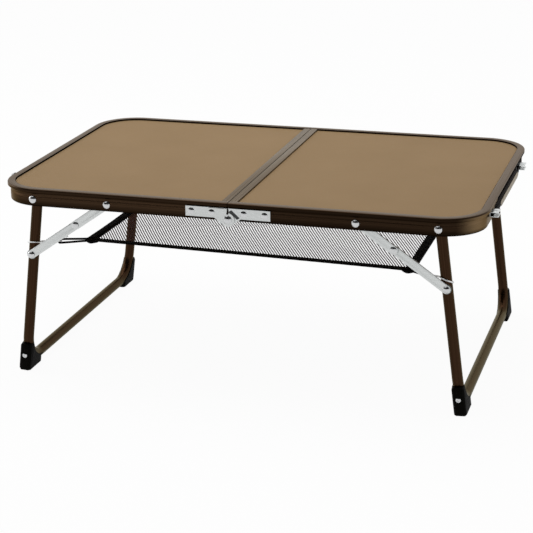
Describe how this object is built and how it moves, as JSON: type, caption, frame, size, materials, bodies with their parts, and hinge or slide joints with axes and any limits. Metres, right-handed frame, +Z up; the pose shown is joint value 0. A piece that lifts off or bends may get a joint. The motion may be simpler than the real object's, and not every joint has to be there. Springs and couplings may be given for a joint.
{
  "type": "folding camping table",
  "caption": "Low folding camping table: hinged top in an aluminium rim, folding tube legs on stays, a net shelf below and a carrying handle.",
  "frame": {"origin": "on the floor, under the middle of the table top", "axes": "+X along the table's width towards the carrying handle, +Y from front to back, +Z up"},
  "size_m": [0.6105, 0.3894, 0.243],
  "materials": {
    "bronze_aluminium": "dark bronze, satin anodised",
    "tan_board": "smooth tan laminate",
    "bright_steel": "bright zinc plated",
    "black_plastic": "moulded, matt",
    "taupe_plastic": "moulded, satin",
    "black_elastic": "covered elastic cord",
    "black_net": "knitted net with a sewn tape"
  },
  "bodies": {
    "left_half": {"left_edge_rail": "bronze_aluminium", "left_centre_rail": "bronze_aluminium", "left_top_board": "tan_board", "left_front_hinge_plate": "bright_steel", "left_front_leg_pivot_rivet": "bright_steel", "left_front_stay_anchor_rivet": "bright_steel", "left_front_net_tie": "black_elastic", "left_back_hinge_plate": "bright_steel", "left_back_leg_pivot_rivet": "bright_steel", "left_back_stay_anchor_rivet": "bright_steel", "left_back_net_tie": "black_elastic", "shelf_net": "black_net", "closing_clip": "bright_steel", "front_hinge_rivet": "bright_steel", "back_hinge_rivet": "bright_steel"},
    "left_leg": {"left_leg_tube": "bronze_aluminium", "left_front_foot": "black_plastic", "left_front_foot_screw": "bright_steel", "left_front_leg_rivet": "bright_steel", "left_front_net_hook": "bright_steel", "left_back_foot": "black_plastic", "left_back_foot_screw": "bright_steel", "left_back_leg_rivet": "bright_steel", "left_back_net_hook": "bright_steel"},
    "left_upper_links": {"left_front_upper_link": "bright_steel", "left_front_stay_joint_rivet": "bright_steel", "left_back_upper_link": "bright_steel", "left_back_stay_joint_rivet": "bright_steel"},
    "left_lower_links": {"left_front_lower_link": "bright_steel", "left_back_lower_link": "bright_steel"},
    "right_half": {"right_edge_rail": "bronze_aluminium", "right_centre_rail": "bronze_aluminium", "right_top_board": "tan_board", "right_front_hinge_plate": "bright_steel", "right_front_leg_pivot_rivet": "bright_steel", "right_front_stay_anchor_rivet": "bright_steel", "right_front_net_tie": "black_elastic", "right_back_hinge_plate": "bright_steel", "right_back_leg_pivot_rivet": "bright_steel", "right_back_stay_anchor_rivet": "bright_steel", "right_back_net_tie": "black_elastic", "front_handle_bracket": "bright_steel", "back_handle_bracket": "bright_steel"},
    "right_leg": {"right_leg_tube": "bronze_aluminium", "right_front_foot": "black_plastic", "right_front_foot_screw": "bright_steel", "right_front_leg_rivet": "bright_steel", "right_front_net_hook": "bright_steel", "right_back_foot": "black_plastic", "right_back_foot_screw": "bright_steel", "right_back_leg_rivet": "bright_steel", "right_back_net_hook": "bright_steel"},
    "right_upper_links": {"right_front_upper_link": "bright_steel", "right_front_stay_joint_rivet": "bright_steel", "right_back_upper_link": "bright_steel", "right_back_stay_joint_rivet": "bright_steel"},
    "right_lower_links": {"right_front_lower_link": "bright_steel", "right_back_lower_link": "bright_steel"},
    "handle": {"carrying_handle": "taupe_plastic"}
  },
  "joints": [
    {"name": "table_fold", "type": "hinge", "parent": "left_half", "child": "right_half", "pos_m": [0, 0, 0.2228], "axis": [0, 1, 0], "range_deg": [0, 90], "deforming": ["shelf_net"]},
    {"name": "left_leg_fold", "type": "hinge", "parent": "left_half", "child": "left_leg", "pos_m": [-0.249, 0, 0.2293], "axis": [0, -1, 0], "range_deg": [0, 97.3], "deforming": ["left_front_net_tie", "left_back_net_tie"]},
    {"name": "left_upper_link_fold", "type": "hinge", "parent": "left_half", "child": "left_upper_links", "pos_m": [-0.153, 0, 0.2293], "axis": [0, -1, 0], "range_deg": [0, 145.35]},
    {"name": "left_lower_link_fold", "type": "hinge", "parent": "left_leg", "child": "left_lower_links", "pos_m": [-0.2584, 0, 0.1559], "axis": [0, 1, 0], "range_deg": [0, 132.35]},
    {"name": "right_leg_fold", "type": "hinge", "parent": "right_half", "child": "right_leg", "pos_m": [0.249, 0, 0.2293], "axis": [0, 1, 0], "range_deg": [0, 97.3], "deforming": ["right_front_net_tie", "right_back_net_tie"]},
    {"name": "right_upper_link_fold", "type": "hinge", "parent": "right_half", "child": "right_upper_links", "pos_m": [0.153, 0, 0.2293], "axis": [0, 1, 0], "range_deg": [0, 145.35]},
    {"name": "right_lower_link_fold", "type": "hinge", "parent": "right_leg", "child": "right_lower_links", "pos_m": [0.2584, 0, 0.1559], "axis": [0, -1, 0], "range_deg": [0, 132.35]},
    {"name": "handle_slide", "type": "slide", "parent": "right_half", "child": "handle", "axis": [1, 0, 0], "range_m": [0, 0.005]}
  ],
  "couplings": [
    {"joint": "left_upper_link_fold", "follows": "left_leg_fold", "ratio": 1.4917},
    {"joint": "left_lower_link_fold", "follows": "left_leg_fold", "ratio": 1.3582},
    {"joint": "right_upper_link_fold", "follows": "right_leg_fold", "ratio": 1.4917},
    {"joint": "right_lower_link_fold", "follows": "right_leg_fold", "ratio": 1.3582}
  ]
}
